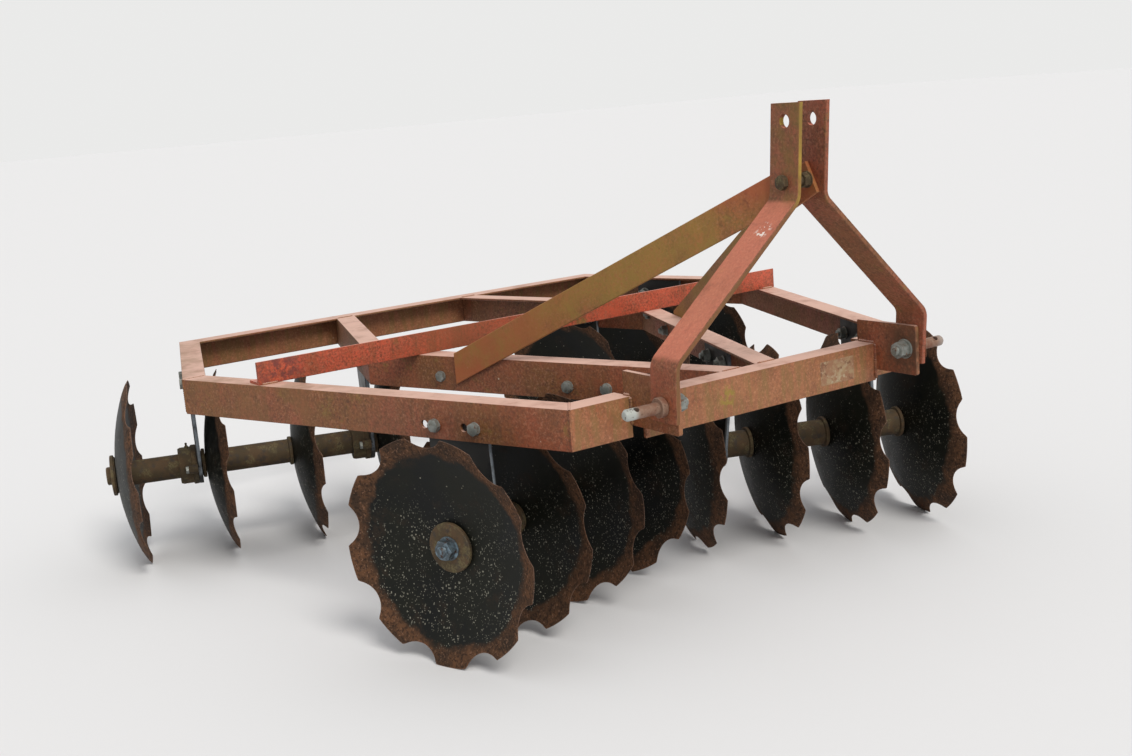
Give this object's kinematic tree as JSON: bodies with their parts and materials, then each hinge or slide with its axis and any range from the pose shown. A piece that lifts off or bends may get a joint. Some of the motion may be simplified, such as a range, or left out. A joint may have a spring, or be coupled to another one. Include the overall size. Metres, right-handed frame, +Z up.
{
  "type": "three-point hitch tandem disc harrow",
  "caption": "Tandem disc harrow for a three-point hitch: angle-iron frame with an A-frame mast and four gangs of notched dished discs that turn on square shafts.",
  "frame": {"origin": "centre of the bounding box at ground level, where the discs stand", "axes": "+X to the machine's left, +Y back from the hitch to the rear beam, +Z up"},
  "size_m": [1.9156, 1.735, 1.013],
  "materials": {
    "oxide_paint": "faded red oxide paint with rust",
    "bright_paint": "brighter red oxide paint, scuffed",
    "black_paint": "satin black paint",
    "disc_steel": "satin black with a rusty rim",
    "worn_steel": "weathered bare steel",
    "rusty_cast": "dull rust"
  },
  "bodies": {
    "frame": {"front_beam": "oxide_paint", "rear_beam": "oxide_paint", "cross_angle": "bright_paint", "pin_plate_right": "oxide_paint", "pin_plate_left": "oxide_paint", "front_corner_right": "oxide_paint", "front_corner_left": "oxide_paint", "outer_front_angle_right": "oxide_paint", "outer_front_angle_left": "oxide_paint", "outer_rear_angle_right": "oxide_paint", "outer_rear_angle_left": "oxide_paint", "inner_front_angle_right": "oxide_paint", "inner_front_angle_left": "oxide_paint", "inner_rear_angle_right": "oxide_paint", "inner_rear_angle_left": "oxide_paint", "mast_leg_right": "bright_paint", "mast_leg_left": "bright_paint", "mast_upright_right": "bright_paint", "mast_upright_left": "bright_paint", "brace_right": "oxide_paint", "brace_left": "oxide_paint", "hitch_pin_right": "worn_steel", "hitch_pin_left": "worn_steel", "hangers_front_right": "black_paint", "hangers_front_left": "black_paint", "hangers_rear_right": "black_paint", "hangers_rear_left": "black_paint", "bearings_front_right": "rusty_cast", "bearings_front_left": "rusty_cast", "bearings_rear_right": "rusty_cast", "bearings_rear_left": "rusty_cast"},
    "gang_front_right": {"shaft_front_right": "rusty_cast", "spools_front_right": "rusty_cast", "discs_front_right": "disc_steel"},
    "gang_front_left": {"shaft_front_left": "rusty_cast", "spools_front_left": "rusty_cast", "discs_front_left": "disc_steel"},
    "gang_rear_right": {"shaft_rear_right": "rusty_cast", "spools_rear_right": "rusty_cast", "discs_rear_right": "disc_steel"},
    "gang_rear_left": {"shaft_rear_left": "rusty_cast", "spools_rear_left": "rusty_cast", "discs_rear_left": "disc_steel"}
  },
  "joints": [
    {"name": "gang_front_right_turn", "type": "hinge", "parent": "frame", "child": "gang_front_right", "pos_m": [-0.54558, -0.44657, 0.2285], "axis": [-0.9338, -0.3578, 0], "continuous": true},
    {"name": "gang_front_left_turn", "type": "hinge", "parent": "frame", "child": "gang_front_left", "pos_m": [0.54558, -0.44657, 0.2285], "axis": [0.9338, -0.3578, 0], "continuous": true},
    {"name": "gang_rear_right_turn", "type": "hinge", "parent": "frame", "child": "gang_rear_right", "pos_m": [-0.75164, 0.59403, 0.2285], "axis": [-0.9492, 0.3147, 0], "continuous": true},
    {"name": "gang_rear_left_turn", "type": "hinge", "parent": "frame", "child": "gang_rear_left", "pos_m": [0.75164, 0.59403, 0.2285], "axis": [0.9492, 0.3147, 0], "continuous": true}
  ]
}
